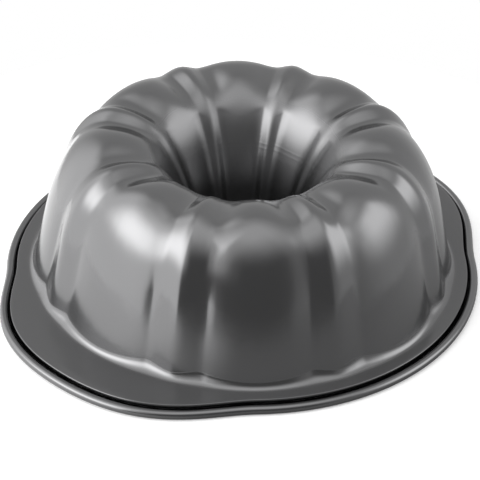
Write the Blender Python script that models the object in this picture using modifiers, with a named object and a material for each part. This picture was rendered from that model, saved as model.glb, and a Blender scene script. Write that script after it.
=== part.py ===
"""Fluted tube pan: a ring cake pan drawn from one steel sheet, lying upside down on its rim.

The frame is +Z up, with the origin on the surface that the rim rests on, under the tube's axis.
The two ears point along +X and -X. All sizes are in metres.

The sheet is followed on its outer side, the side away from the cake: up the centre tube, over the
fluted crown, down the wall, out along the flat flange, down its step and round the curled edge,
where the same side of the sheet faces the wire. The thickness lies on the other side.
"""

from math import atan, cos, degrees, hypot, pi, radians, sin, tan

import bmesh
import bpy

# The sheet and the flutes.
SHEET = 0.0006
FLUTES = 8
LOBE_HALF_ANGLE = radians(15.0)
LOBE_TURN = 0.93
RIB_TURN = 0.55

# Outer-side sections through the middle of a wide lobe, the crest of a narrow rib and the valley
# between them. A section is a foot that flares onto the flange, a drafted wall, an elliptical crown,
# a drafted funnel that narrows in two stages, and a tube. flare and flare_height are the reach and
# the height of the foot's quarter ellipse, draft the wall's angle from the vertical, outer_reach,
# outer_depth and inner_reach the sizes of the crown's two quarter ellipses, funnel_draft the angle
# of the funnel's upper stage, neck_depth how far below the crown that stage ends, neck and throat the
# radii where the stages end, and end the radius of the tube's open edge.
FOOT_RADIUS = 0.1273
LOBE = dict(flare=0.0044, flare_height=0.0055, draft=radians(12.2), height=0.0938,
            outer_reach=0.0415, outer_depth=0.0795, inner_reach=0.0380,
            funnel_draft=radians(34.5), neck_depth=0.0238, neck=0.0428, throat=0.0325, end=0.0260)
RIB = dict(flare=0.0055, flare_height=0.0055, draft=radians(11.0), height=0.0929,
           outer_reach=0.0377, outer_depth=0.0650, inner_reach=0.0360,
           funnel_draft=radians(34.5), neck_depth=0.0229, neck=0.0428, throat=0.0325, end=0.0260)
VALLEY = dict(flare=0.0080, flare_height=0.0085, draft=radians(12.5), height=0.0890,
              outer_reach=0.0311, outer_depth=0.0550, inner_reach=0.0310,
              funnel_draft=radians(34.5), neck_depth=0.0190, neck=0.0440, throat=0.0335, end=0.0268)
NECK_BEND = 0.006
THROAT_HEIGHT = 0.045
THROAT_BEND = 0.009
TUBE_END_HEIGHT = 0.008

# The flange, its two ears, and the edge curled round the wire.
FLANGE_HEIGHT = 0.0065
FLANGE_RADIUS = 0.1334
EAR_REACH = 0.0175
EAR_HALF_ANGLE = radians(45.0)
EAR_BLUNTNESS = 1.6
WIRE_RADIUS = 0.0017
WIRE_CLEARANCE = 0.0003
GROOVE = 0.0011
STEP_FOOT = 0.0026
CURL_START = radians(225.0)
CURL_FACETS = 10
CURL_FACET_ANGLE = radians(30.0)
FLANGE_BEND = 0.0007

# How finely the sheet is divided: along the section, and across half a lobe and half a rib.
TUBE_STEPS = 1
BEND_STEPS = 1
FUNNEL_STEPS = 1
CONE_STEPS = 1
INNER_STEPS = 4
OUTER_STEPS = 6
WALL_STEPS = 1
FLARE_STEPS = 3
LOBE_STOPS = (0.0, 0.45, 0.8)
RIB_STOPS = (0.0, 0.6)

CURL_INSIDE = WIRE_RADIUS + WIRE_CLEARANCE
CURL_OUTSIDE = CURL_INSIDE + SHEET
CURL_RADIUS = FLANGE_RADIUS + GROOVE + CURL_OUTSIDE
PITCH = 2 * pi / FLUTES

SHELL_MATERIAL = dict(color=(0.035, 0.036, 0.038, 1.0), roughness=0.32, metallic=0.4)
WIRE_MATERIAL = dict(color=(0.55, 0.55, 0.56, 1.0), roughness=0.35, metallic=1.0)


def clear_scene():
    for obj in list(bpy.data.objects):
        bpy.data.objects.remove(obj, do_unlink=True)


def material(name, color, roughness, metallic):
    made = bpy.data.materials.new(name)
    made.use_nodes = True
    shader = made.node_tree.nodes["Principled BSDF"]
    shader.inputs["Base Color"].default_value = color
    shader.inputs["Roughness"].default_value = roughness
    shader.inputs["Metallic"].default_value = metallic
    made.diffuse_color = color
    return made


def line(start, end, steps):
    """Points from start up to, but not including, end."""
    return [(start[0] + (end[0] - start[0]) * i / steps, start[1] + (end[1] - start[1]) * i / steps)
            for i in range(steps)]


def ellipse(centre, reach, depth, first, last, steps):
    """Points on an ellipse from the angle first up to, but not including, last."""
    turns = [first + (last - first) * i / steps for i in range(steps)]
    return [(centre[0] + reach * cos(t), centre[1] + depth * sin(t)) for t in turns]


def toward(start, end, distance):
    length = hypot(end[0] - start[0], end[1] - start[1])
    share = distance / length
    return (start[0] + (end[0] - start[0]) * share, start[1] + (end[1] - start[1]) * share)


def section(flare, flare_height, draft, height, outer_reach, outer_depth, inner_reach,
            funnel_draft, neck_depth, neck, throat, end):
    """(radius, height) points of one section, from the tube's open edge to the wall's foot."""
    # The wall runs straight from the flare's quarter ellipse up to the crown's, with no kink at either.
    flare_turn = atan(tan(draft) * flare_height / flare)
    flare_top = (FOOT_RADIUS - flare * cos(flare_turn),
                 FLANGE_HEIGHT + flare_height * (1 - sin(flare_turn)))
    shoulder_turn = atan(tan(draft) * outer_depth / outer_reach)
    shoulder_height = height - outer_depth * (1 - sin(shoulder_turn))
    shoulder = (flare_top[0] - tan(draft) * (shoulder_height - flare_top[1]), shoulder_height)
    crest = shoulder[0] - outer_reach * cos(shoulder_turn)

    # The crown's inner ellipse is as deep as it takes to meet the funnel's slope without a kink.
    rise = (crest - neck) / tan(funnel_draft) - neck_depth
    inner_depth = ((inner_reach / tan(funnel_draft)) ** 2 - rise ** 2) / (2 * rise)
    inner_turn = pi / 2 + atan(inner_reach / inner_depth / tan(funnel_draft))
    outer, inner = (crest, height - outer_depth), (crest, height - inner_depth)
    brink = (inner[0] + inner_reach * cos(inner_turn), inner[1] + inner_depth * sin(inner_turn))
    edge, narrow, wide = (end, TUBE_END_HEIGHT), (throat, THROAT_HEIGHT), (neck, height - neck_depth)
    throat_bend = toward(narrow, edge, THROAT_BEND), toward(narrow, wide, THROAT_BEND)
    neck_bend = toward(wide, narrow, NECK_BEND), toward(wide, brink, NECK_BEND)

    points = line(edge, throat_bend[0], TUBE_STEPS)
    points += line(throat_bend[0], throat_bend[1], BEND_STEPS)
    points += line(throat_bend[1], neck_bend[0], FUNNEL_STEPS)
    points += line(neck_bend[0], neck_bend[1], BEND_STEPS)
    points += line(neck_bend[1], brink, CONE_STEPS)
    points += ellipse(inner, inner_reach, inner_depth, inner_turn, pi / 2, INNER_STEPS)
    points += ellipse(outer, outer_reach, outer_depth, pi / 2, shoulder_turn, OUTER_STEPS)
    points += line(shoulder, flare_top, WALL_STEPS)
    flare_centre = (FOOT_RADIUS, FLANGE_HEIGHT + flare_height)
    points += ellipse(flare_centre, flare, flare_height, pi + flare_turn, 3 * pi / 2, FLARE_STEPS)
    return points + [(FOOT_RADIUS, FLANGE_HEIGHT)]


def blend(low, high, share):
    return [(a[0] + (b[0] - a[0]) * share, a[1] + (b[1] - a[1]) * share)
            for a, b in zip(low, high)]


def wave(share, turn):
    """1 at share 0 and 0 at share 1: a crest, and from the share turn on a hollow, both parabolas."""
    if share < turn:
        return 1 - share * share / turn
    return (1 - share) ** 2 / (1 - turn)


def flute_stops():
    """(angle from a lobe's middle, section at that angle) over one pitch."""
    lobe, rib, valley = section(**LOBE), section(**RIB), section(**VALLEY)
    rib_half_angle = PITCH / 2 - LOBE_HALF_ANGLE
    half_lobe = [(share * LOBE_HALF_ANGLE, blend(valley, lobe, wave(share, LOBE_TURN)))
                 for share in LOBE_STOPS]
    half_rib = [(PITCH / 2 - share * rib_half_angle, blend(valley, rib, wave(share, RIB_TURN)))
                for share in RIB_STOPS]
    rising = half_lobe + [(LOBE_HALF_ANGLE, valley)] + half_rib[::-1]
    falling = [(PITCH - angle, points) for angle, points in rising[-2:0:-1]]
    return rising + falling


def ear(angle):
    """How far the flange's edge stands out at this angle, over the two ears."""
    off = abs((angle + pi / 2) % pi - pi / 2)
    share = min(1.0, off / EAR_HALF_ANGLE) ** EAR_BLUNTNESS
    return EAR_REACH * (1 + cos(pi * share)) / 2


def rim_section():
    """(radius, height) points of the flange's bend, its step and the curl, away from the ears."""
    # The curl's facets touch a circle round the wire, with one facet flat on the ground.
    corner_radius = CURL_INSIDE / cos(CURL_FACET_ANGLE / 2)
    turns = [CURL_START + CURL_FACET_ANGLE * i for i in range(CURL_FACETS + 1)]
    curl = [(CURL_RADIUS + corner_radius * cos(t), CURL_OUTSIDE + corner_radius * sin(t))
            for t in turns]
    # The step drops straight from the flange's bend and then turns out under the curl.
    bend = [(FLANGE_RADIUS - FLANGE_BEND, FLANGE_HEIGHT), (FLANGE_RADIUS, FLANGE_HEIGHT - FLANGE_BEND)]
    return bend + [(FLANGE_RADIUS, STEP_FOOT)] + curl


def shell_mesh(material_slot):
    """The sheet's outer side, lofted round the axis through its unlike sections."""
    stops = []
    for flute in range(FLUTES):
        stops += [(flute * PITCH + angle, points) for angle, points in flute_stops()]
    rim = rim_section()
    sheet = bmesh.new()
    rings = []
    for angle, points in stops:
        out = ear(angle)
        outline = points + [(radius + out, height) for radius, height in rim]
        rings.append([sheet.verts.new((radius * cos(angle), radius * sin(angle), height))
                      for radius, height in outline])
    for ring, following in zip(rings, rings[1:] + rings[:1]):
        for i in range(len(ring) - 1):
            sheet.faces.new((ring[i], ring[i + 1], following[i + 1], following[i]))
    mesh = bpy.data.meshes.new("pan_shell")
    sheet.to_mesh(mesh)
    sheet.free()
    mesh.materials.append(material_slot)
    mesh.shade_smooth()
    mesh.set_sharp_from_angle(angle=radians(38.0))
    return mesh, [angle for angle, _ in stops]


def wire_curve(angles, material_slot):
    """The closed rim wire, which runs in the curl and follows the ears."""
    curve = bpy.data.curves.new("rim_wire", "CURVE")
    curve.dimensions = "3D"
    curve.bevel_depth = WIRE_RADIUS
    curve.bevel_resolution = 2
    spline = curve.splines.new("POLY")
    spline.points.add(len(angles) - 1)
    spline.use_cyclic_u = True
    spline.use_smooth = True
    for point, angle in zip(spline.points, angles):
        radius = CURL_RADIUS + ear(angle)
        point.co = (radius * cos(angle), radius * sin(angle), CURL_OUTSIDE, 1.0)
    curve.materials.append(material_slot)
    return curve


def build():
    clear_scene()
    pan = bpy.data.collections.new("fluted_tube_pan")
    bpy.context.scene.collection.children.link(pan)

    mesh, angles = shell_mesh(material("dark_coated_steel", **SHELL_MATERIAL))
    shell = bpy.data.objects.new("pan_shell", mesh)
    pan.objects.link(shell)
    thickness = shell.modifiers.new("sheet_thickness", "SOLIDIFY")
    thickness.thickness = SHEET
    thickness.offset = -1.0
    thickness.use_even_offset = True
    thickness.use_rim = True

    wire = bpy.data.objects.new("rim_wire", wire_curve(angles, material("rim_steel", **WIRE_MATERIAL)))
    pan.objects.link(wire)

    across = 2 * (CURL_RADIUS + CURL_OUTSIDE)
    print(f"pan {1000 * across:.1f} mm across, {1000 * (across + 2 * EAR_REACH):.1f} mm over the ears,"
          f" {1000 * LOBE['height']:.1f} mm high, wall draft {degrees(LOBE['draft']):.1f} degrees")


build()
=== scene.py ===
"""Fluted tube pan, upside down on a pale table: the finished surface, its materials, light and camera.

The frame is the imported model's: metres, +Z up, the origin on the table under the tube's axis, and
the two ears along +X and -X.
"""

from math import atan, cos, hypot, pi, radians, sin, tan

import bmesh
import bpy
from mathutils import Matrix, Vector


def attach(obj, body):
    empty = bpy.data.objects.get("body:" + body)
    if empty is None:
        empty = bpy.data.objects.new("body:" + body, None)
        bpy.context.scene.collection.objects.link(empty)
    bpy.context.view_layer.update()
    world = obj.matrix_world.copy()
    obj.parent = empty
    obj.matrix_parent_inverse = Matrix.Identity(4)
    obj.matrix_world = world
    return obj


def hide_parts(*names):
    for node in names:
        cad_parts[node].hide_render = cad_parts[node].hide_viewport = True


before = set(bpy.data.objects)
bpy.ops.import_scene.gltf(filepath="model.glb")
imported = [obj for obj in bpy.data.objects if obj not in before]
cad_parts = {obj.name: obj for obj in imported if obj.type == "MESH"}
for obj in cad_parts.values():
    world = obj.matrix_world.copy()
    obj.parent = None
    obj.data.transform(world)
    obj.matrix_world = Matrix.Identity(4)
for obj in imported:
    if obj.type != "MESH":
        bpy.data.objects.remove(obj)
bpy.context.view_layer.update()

# The sheet and the flutes. The crest of a half lobe takes the share LOBE_TURN of it down the wall,
# and CROWN_TURN from the crown's top to the tube's end, with an even change between. The crest and
# the hollow of a half rib take the shares RIB_CREST and RIB_HOLLOW, with a straight side between.
SHEET = 0.0006
FLUTES = 8
PITCH = 2 * pi / FLUTES
LOBE_HALF_ANGLE = radians(15.0)
LOBE_TURN = 0.93
CROWN_TURN = 0.64
RIB_CREST = 0.28
RIB_HOLLOW = 0.25

# The sections, as in the source of the solids, with softer bends at the funnel's neck and throat.
FOOT_RADIUS = 0.1273
LOBE = dict(flare=0.0044, flare_height=0.0055, draft=radians(12.2), height=0.0938,
            outer_reach=0.0415, outer_depth=0.0795, inner_reach=0.0380,
            funnel_draft=radians(34.5), neck_depth=0.0238, neck=0.0428, throat=0.0325, end=0.0260)
RIB = dict(flare=0.0055, flare_height=0.0055, draft=radians(11.0), height=0.0929,
           outer_reach=0.0377, outer_depth=0.0650, inner_reach=0.0360,
           funnel_draft=radians(34.5), neck_depth=0.0229, neck=0.0428, throat=0.0325, end=0.0260)
VALLEY = dict(flare=0.0080, flare_height=0.0085, draft=radians(12.5), height=0.0890,
              outer_reach=0.0311, outer_depth=0.0550, inner_reach=0.0310,
              funnel_draft=radians(34.5), neck_depth=0.0190, neck=0.0440, throat=0.0335, end=0.0268)
NECK_BEND = dict(down=0.0145, up=0.0083)
THROAT_HEIGHT = 0.045
THROAT_BEND = 0.012
TUBE_END_HEIGHT = 0.008

# The flange, its two ears, and the edge curled round the wire.
FLANGE_HEIGHT = 0.0065
FLANGE_RADIUS = 0.1334
FLANGE_BEND = 0.0007
EAR_REACH = 0.0175
EAR_HALF_ANGLE = radians(45.0)
EAR_BLUNTNESS = 1.6
WIRE_RADIUS = 0.0017
WIRE_CLEARANCE = 0.0003
GROOVE = 0.0011
CURL_INSIDE = WIRE_RADIUS + WIRE_CLEARANCE
CURL_OUTSIDE = CURL_INSIDE + SHEET
CURL_RADIUS = FLANGE_RADIUS + GROOVE + CURL_OUTSIDE
STEP_FOOT = 0.0026
CURL_START = radians(225.0)
CURL_END = radians(525.0)

# How finely the sheet is divided: along the section, and across half a lobe and half a rib.
TUBE_STEPS = 6
BEND_STEPS = 6
FUNNEL_STEPS = 5
CONE_STEPS = 5
INNER_STEPS = 18
OUTER_STEPS = 26
WALL_STEPS = 8
FLARE_STEPS = 14
FLANGE_STEPS = 5
CORNER_STEPS = 3
STEP_STEPS = 3
CURL_STEPS = 24
LOBE_STEPS = 14
RIB_STEPS = 12

# The coating, with sizes and heights in metres. FLANGE_BAND is the heights between which the
# flange's duller coating fades in and out. The funnel's roughness and the punch marks fade in from
# their first radius to their second.
COATING_COLOR = (0.197, 0.197, 0.2, 1.0)
COATING_ROUGHNESS = 0.18
ROUGHNESS_SPREAD = 0.06
PATCH_SIZE = 0.03
FUNNEL_ROUGHNESS = 0.14
FUNNEL_FADE = (0.064, 0.050)
FLANGE_COLOR = (0.12, 0.12, 0.122, 1.0)
FLANGE_METALLIC = 0.6
FLANGE_BAND = [FLANGE_HEIGHT + off for off in (-0.0004, -0.0001, 0.0001, 0.0006)]
GRAIN_SIZE = 0.0012
GRAIN_HEIGHT = 0.000004
WAVE_SIZE = 0.009
WAVE_STRETCH = (1.0, 1.0, 6.0)
WAVE_HEIGHT = 0.00010
MARK_LEVELS = (0.0630, 0.0605)
MARK_WIDTH = 0.0009
MARK_HEIGHT = 0.000015
MARK_FADE = (0.060, 0.050)

# The wire, whose roughness grows by up to its spread.
WIRE_COLOR = (0.5, 0.5, 0.51, 1.0)
WIRE_ROUGHNESS = 0.25
WIRE_ROUGHNESS_SPREAD = 0.2
WIRE_PATCH_SIZE = 0.002

# The camera, from a fit to the photograph: the angle round the pan, the angle above the horizon, the
# distance along its axis, the pan's offset from that axis, the roll, and the lens and sensor in mm.
CAMERA_AZIMUTH = radians(-49.8)
CAMERA_ELEVATION = radians(34.70)
CAMERA_DISTANCE = 1.350
CAMERA_OFFSET = (0.00194, -0.01649)
CAMERA_ROLL = radians(1.892)
CAMERA_LENS = 170.0
CAMERA_SENSOR = 36.0

# The light: soft panels round the pan, over a dim studio. Angles are in degrees, across from straight
# ahead of the camera to its right, and up from the horizon. A panel is at its level between its two
# middle angles and fades out to its first and last. The ceiling leans towards the camera by its tilt,
# and grows from its edge's first angle off its axis to the second.
WHITE = (1.0, 1.0, 1.0, 1.0)
DIM_STUDIO = 0.20
PANELS = (
    dict(name="back_wall", level=0.49, across=(-70, -40, 40, 70), up=(-60, -30, 50, 88)),
    dict(name="left_wall", level=1.58, across=(-149, -143, -66, -22), up=(-70, -40, 44, 80)),
    dict(name="key_panel", level=2.70, across=(-174, -114, -104, -62), up=(8, 24, 31, 58)),
    dict(name="right_wall", level=0.35, across=(40, 64, 84, 154), up=(-60, -20, 50, 84)),
    dict(name="right_edge", level=0.13, across=(44, 68, 136, 143), up=(-60, -40, 50, 84)),
    dict(name="right_panel", level=1.70, across=(58, 74, 96, 128), up=(-4, 25, 36, 58)),
)
CEILING = dict(level=1.15, tilt=15.0, edge=(50, 8))

# The table. To the camera it is at least TABLE_WHITE. Where the pan mirrors it, its colour is a
# painted shade, lifted by painted light towards the left and the back, each from the first place of
# its edge to the second, in metres; towards the left it also glows, a painted light.
TABLE_RADIUS = 0.27
TABLE_SIDES = 96
TABLE_ROUGHNESS = 0.7
TABLE_SPECULAR = 0.2
TABLE_WHITE = 0.82
TABLE_GLOW = 0.25
TABLE_PAINTED_SHADE = 0.27
TABLE_LEFT_PAINTED_LIGHT = dict(lift=0.55, edge=(-0.01, -0.14), glow=1.2)
TABLE_BACK_PAINTED_LIGHT = dict(lift=0.32, edge=(-0.18, 0.14))


def line(start, end, steps):
    """Points from start up to, but not including, end."""
    return [(start[0] + (end[0] - start[0]) * i / steps, start[1] + (end[1] - start[1]) * i / steps)
            for i in range(steps)]


def ellipse(centre, reach, depth, first, last, steps):
    """Points on an ellipse from the angle first up to, but not including, last."""
    turns = [first + (last - first) * i / steps for i in range(steps)]
    return [(centre[0] + reach * cos(t), centre[1] + depth * sin(t)) for t in turns]


def toward(start, end, distance):
    """The point at this distance from start on the way to end."""
    share = distance / hypot(end[0] - start[0], end[1] - start[1])
    return (start[0] + (end[0] - start[0]) * share, start[1] + (end[1] - start[1]) * share)


def corner_arc(before, corner, after, steps):
    """Points on the curve that leaves before towards the corner and arrives at after."""
    points = []
    for i in range(steps):
        t = i / steps
        weights = ((1 - t) ** 2, 2 * t * (1 - t), t * t)
        points.append(tuple(sum(w * p[axis] for w, p in zip(weights, (before, corner, after)))
                            for axis in (0, 1)))
    return points


def section(flare, flare_height, draft, height, outer_reach, outer_depth, inner_reach,
            funnel_draft, neck_depth, neck, throat, end):
    """(radius, height) points of one section, from the tube's open edge to the wall's foot."""
    # The wall runs straight from the flare's quarter ellipse up to the crown's, with no kink at either.
    flare_turn = atan(tan(draft) * flare_height / flare)
    flare_top = (FOOT_RADIUS - flare * cos(flare_turn),
                 FLANGE_HEIGHT + flare_height * (1 - sin(flare_turn)))
    shoulder_turn = atan(tan(draft) * outer_depth / outer_reach)
    shoulder_height = height - outer_depth * (1 - sin(shoulder_turn))
    shoulder = (flare_top[0] - tan(draft) * (shoulder_height - flare_top[1]), shoulder_height)
    crest = shoulder[0] - outer_reach * cos(shoulder_turn)

    # The crown's inner ellipse is as deep as it takes to meet the funnel's slope without a kink.
    rise = (crest - neck) / tan(funnel_draft) - neck_depth
    inner_depth = ((inner_reach / tan(funnel_draft)) ** 2 - rise ** 2) / (2 * rise)
    inner_turn = pi / 2 + atan(inner_reach / inner_depth / tan(funnel_draft))
    outer, inner = (crest, height - outer_depth), (crest, height - inner_depth)
    brink = (inner[0] + inner_reach * cos(inner_turn), inner[1] + inner_depth * sin(inner_turn))
    edge, narrow, wide = (end, TUBE_END_HEIGHT), (throat, THROAT_HEIGHT), (neck, height - neck_depth)
    throat_bend = toward(narrow, edge, THROAT_BEND), toward(narrow, wide, THROAT_BEND)
    neck_bend = toward(wide, narrow, NECK_BEND["down"]), toward(wide, brink, NECK_BEND["up"])

    points = line(edge, throat_bend[0], TUBE_STEPS)
    points += corner_arc(throat_bend[0], narrow, throat_bend[1], BEND_STEPS)
    points += line(throat_bend[1], neck_bend[0], FUNNEL_STEPS)
    points += corner_arc(neck_bend[0], wide, neck_bend[1], BEND_STEPS)
    points += line(neck_bend[1], brink, CONE_STEPS)
    points += ellipse(inner, inner_reach, inner_depth, inner_turn, pi / 2, INNER_STEPS)
    points += ellipse(outer, outer_reach, outer_depth, pi / 2, shoulder_turn, OUTER_STEPS)
    points += line(shoulder, flare_top, WALL_STEPS)
    flare_centre = (FOOT_RADIUS, FLANGE_HEIGHT + flare_height)
    points += ellipse(flare_centre, flare, flare_height, pi + flare_turn, 3 * pi / 2, FLARE_STEPS)
    return points + [(FOOT_RADIUS, FLANGE_HEIGHT)]


def wave(share, turn):
    """1 at share 0 and 0 at share 1: a crest, and from the share turn on a hollow, both parabolas."""
    if share < turn:
        return 1 - share * share / turn
    return (1 - share) ** 2 / (1 - turn)


def ridge(share):
    """1 at share 0 and 0 at share 1: a narrow crest, a straight side and a narrow hollow."""
    slope = 1 / (1 - (RIB_CREST + RIB_HOLLOW) / 2)
    if share < RIB_CREST:
        return 1 - slope * share * share / (2 * RIB_CREST)
    if share < 1 - RIB_HOLLOW:
        return 1 - slope * (share - RIB_CREST / 2)
    return slope * (1 - share) ** 2 / (2 * RIB_HOLLOW)


def rises(angle, lobe_turn):
    """How far the sheet stands out from the valleys towards the lobe and towards the rib."""
    off = abs((angle + PITCH / 2) % PITCH - PITCH / 2)
    if off <= LOBE_HALF_ANGLE:
        return wave(off / LOBE_HALF_ANGLE, lobe_turn), 0.0
    return 0.0, ridge((PITCH / 2 - off) / (PITCH / 2 - LOBE_HALF_ANGLE))


def lobe_turns():
    """One turn for each point of a section: the valleys are wider over the crown and down the funnel."""
    crest = TUBE_STEPS + 2 * BEND_STEPS + FUNNEL_STEPS + CONE_STEPS + INNER_STEPS
    shares = [1.0] * crest + [1 - i / OUTER_STEPS for i in range(OUTER_STEPS)]
    shares += [0.0] * (WALL_STEPS + FLARE_STEPS + 1)
    return [LOBE_TURN + (CROWN_TURN - LOBE_TURN) * share for share in shares]


def flute_angles():
    """Angles over one pitch, closest together beside the valleys."""
    rib_half_angle = PITCH / 2 - LOBE_HALF_ANGLE
    half_lobe = [LOBE_HALF_ANGLE * sin(pi / 2 * i / LOBE_STEPS) for i in range(LOBE_STEPS)]
    half_rib = [PITCH / 2 - rib_half_angle * sin(pi / 2 * i / RIB_STEPS) for i in range(RIB_STEPS)]
    rising = half_lobe + [LOBE_HALF_ANGLE] + half_rib[::-1]
    return rising + [PITCH - angle for angle in rising[-2:0:-1]]


def ear(angle):
    """How far the flange's edge stands out at this angle, over the two ears."""
    off = abs((angle + pi / 2) % pi - pi / 2)
    share = min(1.0, off / EAR_HALF_ANGLE) ** EAR_BLUNTNESS
    return EAR_REACH * (1 + cos(pi * share)) / 2


def rim_section():
    """(radius, height) points of the flange's bend, its step and the curl, away from the ears."""
    curl = ellipse((CURL_RADIUS, CURL_OUTSIDE), CURL_INSIDE, CURL_INSIDE, CURL_START, CURL_END,
                   CURL_STEPS)
    bend = (FLANGE_RADIUS, FLANGE_HEIGHT)
    before = (FLANGE_RADIUS - FLANGE_BEND, FLANGE_HEIGHT)
    after = (FLANGE_RADIUS, FLANGE_HEIGHT - FLANGE_BEND)
    foot = (FLANGE_RADIUS, STEP_FOOT)
    foot_bend = toward(foot, after, FLANGE_BEND), toward(foot, curl[0], FLANGE_BEND)
    step = line(after, foot_bend[0], STEP_STEPS)
    step += corner_arc(foot_bend[0], foot, foot_bend[1], CORNER_STEPS)
    last = (CURL_RADIUS + CURL_INSIDE * cos(CURL_END), CURL_OUTSIDE + CURL_INSIDE * sin(CURL_END))
    return corner_arc(before, bend, after, CORNER_STEPS) + step + [foot_bend[1]] + curl + [last]


def shell_mesh():
    """The sheet's outer side, lofted round the axis through its unlike sections."""
    lobe, rib, valley = section(**LOBE), section(**RIB), section(**VALLEY)
    rim, turns = rim_section(), lobe_turns()
    sheet = bmesh.new()
    rings = []
    for flute in range(FLUTES):
        for step in flute_angles():
            angle = flute * PITCH + step
            points = []
            for v, a, b, turn in zip(valley, lobe, rib, turns):
                to_lobe, to_rib = rises(step, turn)
                points.append((v[0] + (a[0] - v[0]) * to_lobe + (b[0] - v[0]) * to_rib,
                               v[1] + (a[1] - v[1]) * to_lobe + (b[1] - v[1]) * to_rib))
            out = ear(angle)
            edge = [(radius + out, height) for radius, height in rim]
            outline = points[:-1] + line(points[-1], edge[0], FLANGE_STEPS) + edge
            rings.append([sheet.verts.new((radius * cos(angle), radius * sin(angle), height))
                          for radius, height in outline])
    for ring, following in zip(rings, rings[1:] + rings[:1]):
        for i in range(len(ring) - 1):
            sheet.faces.new((ring[i], ring[i + 1], following[i + 1], following[i]))
    mesh = bpy.data.meshes.new("pan_sheet")
    sheet.to_mesh(mesh)
    sheet.free()
    mesh.shade_smooth()
    return mesh


def new_material(name):
    """A material, its node tree and its Principled shader."""
    made = bpy.data.materials.new(name)
    made.use_nodes = True
    return made, made.node_tree, made.node_tree.nodes["Principled BSDF"]


def math_node(tree, operation, *values):
    """The result of a Math node on numbers and sockets."""
    node = tree.nodes.new("ShaderNodeMath")
    node.operation = operation
    for socket, value in zip(node.inputs, values):
        if isinstance(value, (int, float)):
            socket.default_value = value
        else:
            tree.links.new(value, socket)
    return node.outputs[0]


def fade(tree, value, start, end):
    """0 at start, 1 at end, smooth between."""
    node = tree.nodes.new("ShaderNodeMapRange")
    node.interpolation_type = "SMOOTHSTEP"
    tree.links.new(value, node.inputs["Value"])
    low, high = min(start, end), max(start, end)
    node.inputs["From Min"].default_value = low
    node.inputs["From Max"].default_value = high
    node.inputs["To Min"].default_value = 0.0 if start < end else 1.0
    node.inputs["To Max"].default_value = 1.0 if start < end else 0.0
    return node.outputs["Result"]


def window(tree, value, edges):
    """1 between the middle edges, falling smoothly to 0 at the outer ones."""
    rise = fade(tree, value, edges[0], edges[1])
    fall = fade(tree, value, edges[3], edges[2])
    return math_node(tree, "MULTIPLY", rise, fall)


def noise(tree, position, size, stretch=(1.0, 1.0, 1.0), detail=2.0):
    """Noise around 0.5 whose blobs are about size across."""
    mapping = tree.nodes.new("ShaderNodeMapping")
    mapping.inputs["Scale"].default_value = tuple(1 / (size * s) for s in stretch)
    tree.links.new(position, mapping.inputs["Vector"])
    texture = tree.nodes.new("ShaderNodeTexNoise")
    texture.inputs["Scale"].default_value = 1.0
    texture.inputs["Detail"].default_value = detail
    tree.links.new(mapping.outputs[0], texture.inputs["Vector"])
    return texture.outputs["Fac"]


def split(tree, vector):
    """The X, Y and Z sockets of a vector."""
    node = tree.nodes.new("ShaderNodeSeparateXYZ")
    tree.links.new(vector, node.inputs["Vector"])
    return node.outputs


def turned(tree, vector):
    """The vector along the studio's own axes, +Y straight ahead from where the photo was taken."""
    node = tree.nodes.new("ShaderNodeVectorRotate")
    node.rotation_type = "Z_AXIS"
    node.inputs["Angle"].default_value = -CAMERA_AZIMUTH
    tree.links.new(vector, node.inputs["Vector"])
    return node.outputs["Vector"]


def coated_steel():
    """Dark grey non-stick coating over drawn sheet, slightly wavy and finely grained."""
    made, tree, shader = new_material("pan_coating")
    position = tree.nodes.new("ShaderNodeTexCoord").outputs["Object"]
    parts = split(tree, position)

    # The flange is darker and less metallic than the drawn wall.
    on_flange = window(tree, parts["Z"], FLANGE_BAND)
    color = tree.nodes.new("ShaderNodeMixRGB")
    color.inputs["Color1"].default_value = COATING_COLOR
    color.inputs["Color2"].default_value = FLANGE_COLOR
    tree.links.new(on_flange, color.inputs["Fac"])
    tree.links.new(color.outputs["Color"], shader.inputs["Base Color"])
    metallic = math_node(tree, "MULTIPLY_ADD", on_flange, FLANGE_METALLIC - 1.0, 1.0)
    tree.links.new(metallic, shader.inputs["Metallic"])

    # The tube, which the press stretches most, is the roughest.
    radius = math_node(tree, "SQRT", math_node(
        tree, "MULTIPLY_ADD", parts["X"], parts["X"],
        math_node(tree, "MULTIPLY", parts["Y"], parts["Y"])))
    roughness = math_node(tree, "MULTIPLY_ADD", noise(tree, position, PATCH_SIZE),
                          ROUGHNESS_SPREAD, COATING_ROUGHNESS - ROUGHNESS_SPREAD / 2)
    roughness = math_node(tree, "MULTIPLY_ADD", fade(tree, radius, *FUNNEL_FADE),
                          FUNNEL_ROUGHNESS, roughness)
    tree.links.new(roughness, shader.inputs["Roughness"])

    # Heights in metres: the grain, the waves that drawing leaves down the wall, and the marks of the
    # punch round the funnel.
    grain = math_node(tree, "MULTIPLY", noise(tree, position, GRAIN_SIZE), GRAIN_HEIGHT)
    waves = noise(tree, position, WAVE_SIZE, stretch=WAVE_STRETCH, detail=1.0)
    height = math_node(tree, "MULTIPLY_ADD", waves, WAVE_HEIGHT, grain)
    in_funnel = fade(tree, radius, *MARK_FADE)
    for level in MARK_LEVELS:
        mark = window(tree, parts["Z"], (level - MARK_WIDTH, level, level, level + MARK_WIDTH))
        height = math_node(tree, "MULTIPLY_ADD", math_node(tree, "MULTIPLY", mark, in_funnel),
                           MARK_HEIGHT, height)
    bump = tree.nodes.new("ShaderNodeBump")
    bump.inputs["Strength"].default_value = 1.0
    bump.inputs["Distance"].default_value = 1.0
    tree.links.new(height, bump.inputs["Height"])
    tree.links.new(bump.outputs[0], shader.inputs["Normal"])
    return made


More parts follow.
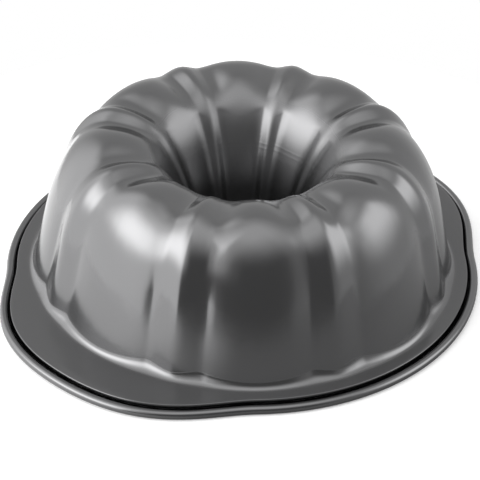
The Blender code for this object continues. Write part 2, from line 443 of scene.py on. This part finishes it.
def wire_steel():
    """Bright drawn wire, rougher in small patches."""
    made, tree, shader = new_material("drawn_wire")
    shader.inputs["Base Color"].default_value = WIRE_COLOR
    shader.inputs["Metallic"].default_value = 1.0
    position = tree.nodes.new("ShaderNodeTexCoord").outputs["Object"]
    roughness = math_node(tree, "MULTIPLY_ADD", noise(tree, position, WIRE_PATCH_SIZE),
                          WIRE_ROUGHNESS_SPREAD, WIRE_ROUGHNESS)
    tree.links.new(roughness, shader.inputs["Roughness"])
    return made


def pan_sheet():
    """The finished sheet, which stands for the shell's solid."""
    shell = bpy.data.objects.new("pan_sheet", shell_mesh())
    bpy.context.scene.collection.objects.link(shell)
    shell.data.materials.append(coated_steel())
    thickness = shell.modifiers.new("sheet_thickness", "SOLIDIFY")
    thickness.thickness = SHEET
    thickness.offset = -1.0
    thickness.use_even_offset = True
    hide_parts("pan_shell")
    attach(shell, "root")


def rim_wire():
    """The solid wire, which keeps its shape and takes the finer steel."""
    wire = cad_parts["rim_wire"]
    wire.data.materials.clear()
    wire.data.materials.append(wire_steel())


def camera():
    """The photograph's camera, turned with the pan into the pan's own frame."""
    right = Vector((1, 0, 0))
    ahead = Vector((0, cos(CAMERA_ELEVATION), -sin(CAMERA_ELEVATION)))
    up = right.cross(ahead)
    place = -CAMERA_OFFSET[0] * right - CAMERA_OFFSET[1] * up - CAMERA_DISTANCE * ahead
    rolled_right = cos(CAMERA_ROLL) * right + sin(CAMERA_ROLL) * up
    rolled_up = cos(CAMERA_ROLL) * up - sin(CAMERA_ROLL) * right
    axes = Matrix((rolled_right, rolled_up, -ahead)).transposed().to_4x4()
    data = bpy.data.cameras.new("camera")
    data.sensor_width = CAMERA_SENSOR
    data.lens = CAMERA_LENS
    made = bpy.data.objects.new("camera", data)
    bpy.context.scene.collection.objects.link(made)
    made.matrix_world = Matrix.Rotation(CAMERA_AZIMUTH, 4, "Z") @ Matrix.Translation(place) @ axes
    bpy.context.scene.camera = made


def table():
    """White as the camera sees it. The pan mirrors a dark table, painted lighter towards the left and
    the back, with a painted glow towards the left.
    """
    mesh = bpy.data.meshes.new("floor")
    built = bmesh.new()
    bmesh.ops.create_circle(built, cap_ends=True, segments=TABLE_SIDES, radius=TABLE_RADIUS)
    built.to_mesh(mesh)
    built.free()
    made = bpy.data.objects.new("floor", mesh)
    bpy.context.scene.collection.objects.link(made)
    paint, tree, shader = new_material("floor_white")
    shader.inputs["Roughness"].default_value = TABLE_ROUGHNESS
    shader.inputs["Specular IOR Level"].default_value = TABLE_SPECULAR
    shader.inputs["Emission Color"].default_value = WHITE

    seen = tree.nodes.new("ShaderNodeLightPath").outputs["Is Camera Ray"]
    parts = split(tree, turned(tree, tree.nodes.new("ShaderNodeTexCoord").outputs["Object"]))
    # Painted light and shade: where the pan mirrors the table, its colour is a painted shade, painted
    # lighter towards the left and the back.
    left = fade(tree, parts["X"], *TABLE_LEFT_PAINTED_LIGHT["edge"])
    back = fade(tree, parts["Y"], *TABLE_BACK_PAINTED_LIGHT["edge"])
    painted_light_and_shade = math_node(tree, "MULTIPLY_ADD", left, TABLE_LEFT_PAINTED_LIGHT["lift"], TABLE_PAINTED_SHADE)
    painted_light_and_shade = math_node(tree, "MULTIPLY_ADD", back, TABLE_BACK_PAINTED_LIGHT["lift"], painted_light_and_shade)
    shade = math_node(tree, "MAXIMUM", painted_light_and_shade, math_node(tree, "MULTIPLY", seen, TABLE_WHITE))
    tree.links.new(shade, shader.inputs["Base Color"])
    # The glow towards the left is painted light; the glow for camera rays keeps the table white.
    glow = math_node(tree, "MAXIMUM", math_node(tree, "MULTIPLY", left, TABLE_LEFT_PAINTED_LIGHT["glow"]), seen)
    tree.links.new(math_node(tree, "MULTIPLY", glow, TABLE_GLOW), shader.inputs["Emission Strength"])
    mesh.materials.append(paint)


def studio():
    """The panels and the ceiling, as a world that lights the pan and the table."""
    world = bpy.data.worlds.new("studio")
    bpy.context.scene.world = world
    world.use_nodes = True
    tree = world.node_tree
    direction = turned(tree, tree.nodes.new("ShaderNodeTexCoord").outputs["Generated"])
    parts = split(tree, direction)
    across = math_node(tree, "ARCTAN2", parts["X"], parts["Y"])
    up = math_node(tree, "ARCSINE", parts["Z"])

    tilt = tree.nodes.new("ShaderNodeVectorMath")
    tilt.operation = "DOT_PRODUCT"
    lean = radians(CEILING["tilt"])
    tilt.inputs[1].default_value = (0.0, -sin(lean), cos(lean))
    tree.links.new(direction, tilt.inputs[0])
    off = math_node(tree, "ARCCOSINE", tilt.outputs["Value"])
    cap = fade(tree, off, *(radians(a) for a in CEILING["edge"]))
    light = math_node(tree, "MULTIPLY_ADD", cap, CEILING["level"], DIM_STUDIO)
    for panel in PANELS:
        share = math_node(tree, "MULTIPLY",
                          window(tree, across, [radians(a) for a in panel["across"]]),
                          window(tree, up, [radians(a) for a in panel["up"]]))
        light = math_node(tree, "MULTIPLY_ADD", share, panel["level"], light)
    background = tree.nodes["Background"]
    background.inputs["Color"].default_value = WHITE
    tree.links.new(light, background.inputs["Strength"])

    # What the camera sees past the table is plain white.
    white = tree.nodes.new("ShaderNodeBackground")
    white.inputs["Color"].default_value = WHITE
    path = tree.nodes.new("ShaderNodeLightPath")
    mix = tree.nodes.new("ShaderNodeMixShader")
    tree.links.new(path.outputs["Is Camera Ray"], mix.inputs[0])
    tree.links.new(background.outputs[0], mix.inputs[1])
    tree.links.new(white.outputs[0], mix.inputs[2])
    tree.links.new(mix.outputs[0], tree.nodes["World Output"].inputs["Surface"])


pan_sheet()
rim_wire()
camera()
table()
studio()

bpy.context.scene.view_settings.view_transform = "Standard"
